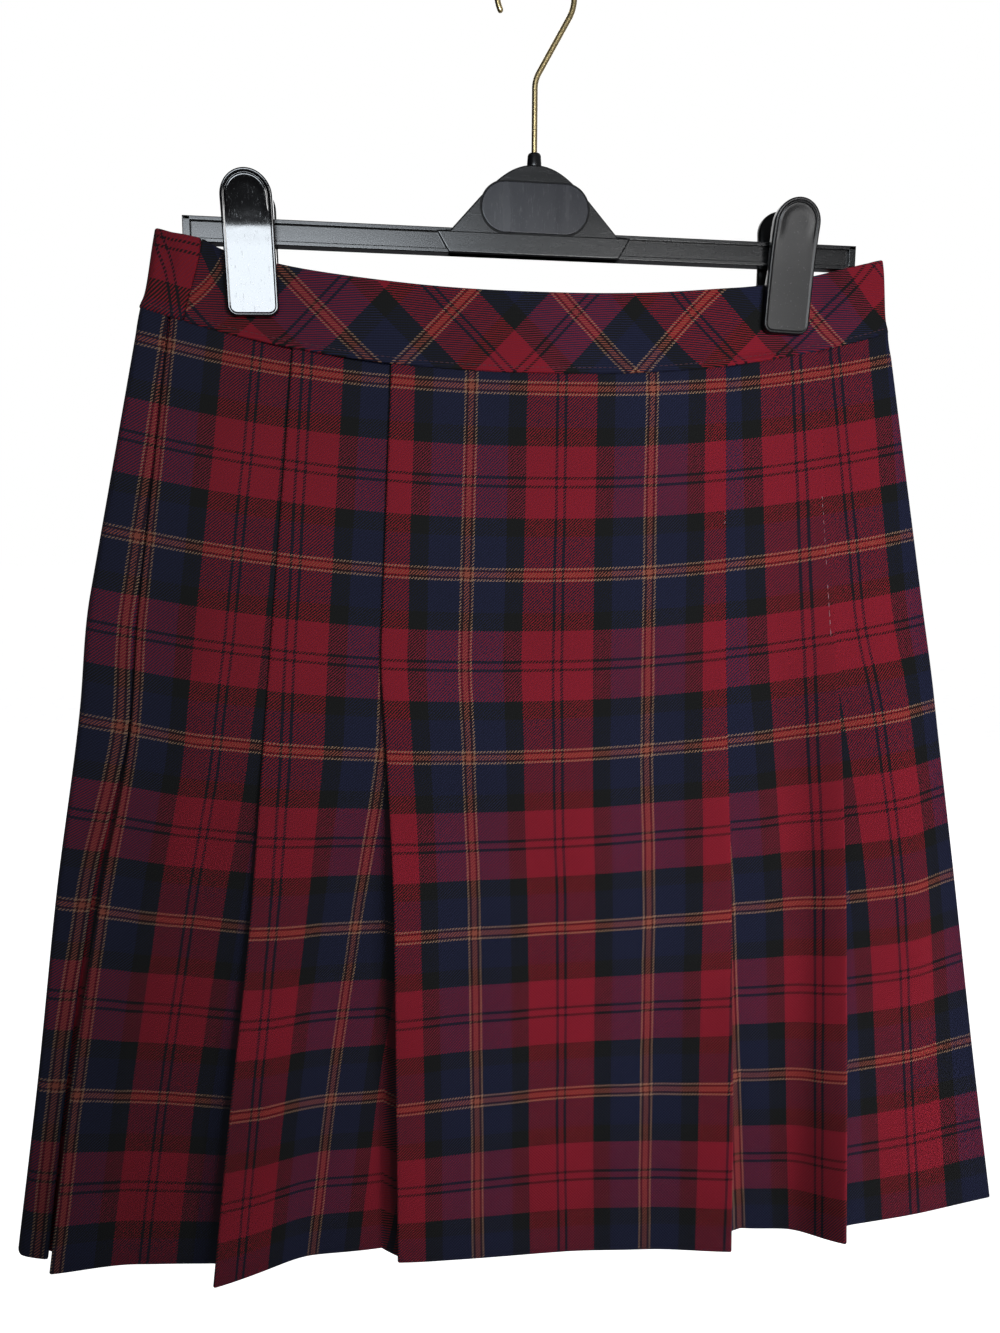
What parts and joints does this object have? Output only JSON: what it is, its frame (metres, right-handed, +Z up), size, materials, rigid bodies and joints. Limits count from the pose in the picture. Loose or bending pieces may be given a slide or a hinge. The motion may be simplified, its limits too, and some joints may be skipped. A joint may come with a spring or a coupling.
{
  "type": "pleated tartan skirt on a clip hanger",
  "caption": "Knee-length pleated tartan skirt with a bias-cut waistband, pegged flat by its waist to a plastic clip hanger with a wire hook.",
  "frame": {"origin": "inside of the top of the hanger's hook, where a rail carries it", "axes": "+Z up, -Y is the skirt's front, +X to the right as the front is seen"},
  "size_m": [0.5421, 0.1004, 0.6989],
  "materials": {
    "tartan_wool": "twill weave, matte, navy, red and black tartan with fine tan lines",
    "tartan_band": "the same tartan cut on the bias, folded and topstitched",
    "hanger_plastic": "satin moulded plastic, slightly worn",
    "badge_plastic": "smooth plate, bare",
    "clip_gloss": "glossy moulded plastic with fine scratches",
    "clip_satin": "satin moulded plastic",
    "hook_brass": "pale, lightly polished wire",
    "spring_steel": "bright strip"
  },
  "bodies": {
    "root": {"skirt_front": "tartan_wool", "skirt_back": "tartan_wool", "waistband_front": "tartan_band", "waistband_back": "tartan_band", "hanger_bar": "hanger_plastic", "hanger_badge": "badge_plastic", "hanger_hook": "hook_brass", "clip_left_jaw_front": "clip_gloss", "clip_left_jaw_back": "clip_satin", "clip_left_spring": "spring_steel", "clip_right_jaw_front": "clip_satin", "clip_right_jaw_back": "clip_satin", "clip_right_spring": "spring_steel"}
  },
  "joints": []
}
